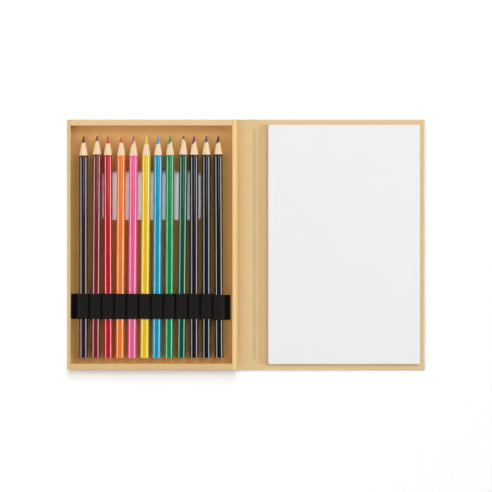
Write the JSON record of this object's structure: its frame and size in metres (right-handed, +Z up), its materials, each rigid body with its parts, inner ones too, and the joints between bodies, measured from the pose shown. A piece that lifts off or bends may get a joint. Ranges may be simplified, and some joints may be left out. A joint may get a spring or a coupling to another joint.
{
  "type": "book-style pencil box with sketch pad",
  "caption": "Kraft card box that opens like a book: coloured pencils under a black looped elastic in a shallow tray, and a white sketch pad on the facing board.",
  "frame": {"origin": "bottom centre of the box lying open and flat", "axes": "+X from the tray half to the pad half, +Y to the head of the box, where the pencils point, +Z up"},
  "size_m": [0.2854, 0.2, 0.0107],
  "materials": {
    "grey_board": "matt recycled grey board",
    "kraft_wrap": "matt kraft paper",
    "kraft_lining": "matt kraft paper",
    "floor_card": "matt brown kraft card",
    "wrapped_wall": "matt kraft paper over board",
    "elastic": "black woven elastic",
    "thread": "black sewing thread",
    "backing_card": "matt kraft card",
    "drawing_paper": "uncoated white drawing paper",
    "gum": "dried padding gum",
    "pencil_wood": "bare light wood, cut smooth",
    "pencil_01_lacquer": "glossy dark brown lacquer",
    "pencil_01_pigment": "waxy coloured core",
    "pencil_02_lacquer": "glossy maroon lacquer",
    "pencil_02_pigment": "waxy coloured core",
    "pencil_03_lacquer": "glossy red lacquer",
    "pencil_03_pigment": "waxy coloured core",
    "pencil_04_lacquer": "glossy orange lacquer",
    "pencil_04_pigment": "waxy coloured core",
    "pencil_05_lacquer": "glossy pink lacquer",
    "pencil_05_pigment": "waxy coloured core",
    "pencil_06_lacquer": "glossy yellow lacquer",
    "pencil_06_pigment": "waxy coloured core",
    "pencil_07_lacquer": "glossy light blue lacquer",
    "pencil_07_pigment": "waxy coloured core",
    "pencil_08_lacquer": "glossy green lacquer",
    "pencil_08_pigment": "waxy coloured core",
    "pencil_09_lacquer": "glossy dark green lacquer",
    "pencil_09_pigment": "waxy coloured core",
    "pencil_10_lacquer": "glossy dark purple lacquer",
    "pencil_10_pigment": "waxy coloured core",
    "pencil_11_lacquer": "glossy navy lacquer",
    "pencil_11_pigment": "waxy coloured core",
    "pencil_12_lacquer": "glossy black lacquer",
    "pencil_12_pigment": "waxy coloured core"
  },
  "bodies": {
    "tray_half": {"tray_board": "grey_board", "tray_wrap": "kraft_wrap", "tray_lining": "kraft_lining", "tray_floor": "floor_card", "tray_wall_left": "wrapped_wall", "tray_wall_right": "wrapped_wall", "tray_wall_head": "wrapped_wall", "tray_wall_foot": "wrapped_wall", "elastic_band": "elastic", "band_stitches": "thread"},
    "spine": {"spine_board": "grey_board", "spine_wrap": "kraft_wrap", "spine_lining": "kraft_lining"},
    "pad_half": {"pad_board": "grey_board", "pad_wrap": "kraft_wrap", "pad_lining": "kraft_lining", "pad_backing": "backing_card", "pad_block": "drawing_paper", "pad_gum": "gum"},
    "top_sheet": {"pad_top_sheet": "drawing_paper"},
    "pencil_01": {"pencil_01_casing": "pencil_wood", "pencil_01_lacquer": "pencil_01_lacquer", "pencil_01_core": "pencil_01_pigment"},
    "pencil_02": {"pencil_02_casing": "pencil_wood", "pencil_02_lacquer": "pencil_02_lacquer", "pencil_02_core": "pencil_02_pigment"},
    "pencil_03": {"pencil_03_casing": "pencil_wood", "pencil_03_lacquer": "pencil_03_lacquer", "pencil_03_core": "pencil_03_pigment"},
    "pencil_04": {"pencil_04_casing": "pencil_wood", "pencil_04_lacquer": "pencil_04_lacquer", "pencil_04_core": "pencil_04_pigment"},
    "pencil_05": {"pencil_05_casing": "pencil_wood", "pencil_05_lacquer": "pencil_05_lacquer", "pencil_05_core": "pencil_05_pigment"},
    "pencil_06": {"pencil_06_casing": "pencil_wood", "pencil_06_lacquer": "pencil_06_lacquer", "pencil_06_core": "pencil_06_pigment"},
    "pencil_07": {"pencil_07_casing": "pencil_wood", "pencil_07_lacquer": "pencil_07_lacquer", "pencil_07_core": "pencil_07_pigment"},
    "pencil_08": {"pencil_08_casing": "pencil_wood", "pencil_08_lacquer": "pencil_08_lacquer", "pencil_08_core": "pencil_08_pigment"},
    "pencil_09": {"pencil_09_casing": "pencil_wood", "pencil_09_lacquer": "pencil_09_lacquer", "pencil_09_core": "pencil_09_pigment"},
    "pencil_10": {"pencil_10_casing": "pencil_wood", "pencil_10_lacquer": "pencil_10_lacquer", "pencil_10_core": "pencil_10_pigment"},
    "pencil_11": {"pencil_11_casing": "pencil_wood", "pencil_11_lacquer": "pencil_11_lacquer", "pencil_11_core": "pencil_11_pigment"},
    "pencil_12": {"pencil_12_casing": "pencil_wood", "pencil_12_lacquer": "pencil_12_lacquer", "pencil_12_core": "pencil_12_pigment"}
  },
  "joints": [
    {"name": "spine_fold", "type": "hinge", "parent": "tray_half", "child": "spine", "pos_m": [-0.0061, 0, 0.0007], "axis": [0, -1, 0], "range_deg": [0, 90]},
    {"name": "cover_fold", "type": "hinge", "parent": "spine", "child": "pad_half", "pos_m": [0.0082, 0, 0.0007], "axis": [0, -1, 0], "range_deg": [0, 90]},
    {"name": "sheet_lift", "type": "hinge", "parent": "pad_half", "child": "top_sheet", "pos_m": [0.0183, 0.0002, 0.0046], "axis": [0, 1, 0], "range_deg": [-160, 0]},
    {"name": "pencil_01_slide", "type": "slide", "parent": "tray_half", "child": "pencil_01", "axis": [0, 1, 0], "range_m": [-0.0039, 0.0076]},
    {"name": "pencil_02_slide", "type": "slide", "parent": "tray_half", "child": "pencil_02", "axis": [0.007, 1, 0], "range_m": [-0.0039, 0.0076]},
    {"name": "pencil_03_slide", "type": "slide", "parent": "tray_half", "child": "pencil_03", "axis": [-0.0017, 1, 0], "range_m": [-0.0039, 0.0076]},
    {"name": "pencil_04_slide", "type": "slide", "parent": "tray_half", "child": "pencil_04", "axis": [0.007, 1, 0], "range_m": [-0.0039, 0.0076]},
    {"name": "pencil_05_slide", "type": "slide", "parent": "tray_half", "child": "pencil_05", "axis": [0.007, 1, 0], "range_m": [-0.0039, 0.0076]},
    {"name": "pencil_06_slide", "type": "slide", "parent": "tray_half", "child": "pencil_06", "axis": [0.0087, 1, 0], "range_m": [-0.0039, 0.0076]},
    {"name": "pencil_07_slide", "type": "slide", "parent": "tray_half", "child": "pencil_07", "axis": [0.0079, 1, 0], "range_m": [-0.0039, 0.0076]},
    {"name": "pencil_08_slide", "type": "slide", "parent": "tray_half", "child": "pencil_08", "axis": [0.0052, 1, 0], "range_m": [-0.0039, 0.0076]},
    {"name": "pencil_09_slide", "type": "slide", "parent": "tray_half", "child": "pencil_09", "axis": [0.0105, 0.9999, 0], "range_m": [-0.0039, 0.0076]},
    {"name": "pencil_10_slide", "type": "slide", "parent": "tray_half", "child": "pencil_10", "axis": [0, 1, 0], "range_m": [-0.0039, 0.0076]},
    {"name": "pencil_11_slide", "type": "slide", "parent": "tray_half", "child": "pencil_11", "axis": [0, 1, 0], "range_m": [-0.0039, 0.0076]},
    {"name": "pencil_12_slide", "type": "slide", "parent": "tray_half", "child": "pencil_12", "axis": [-0.0044, 1, 0], "range_m": [-0.0039, 0.0076]}
  ]
}
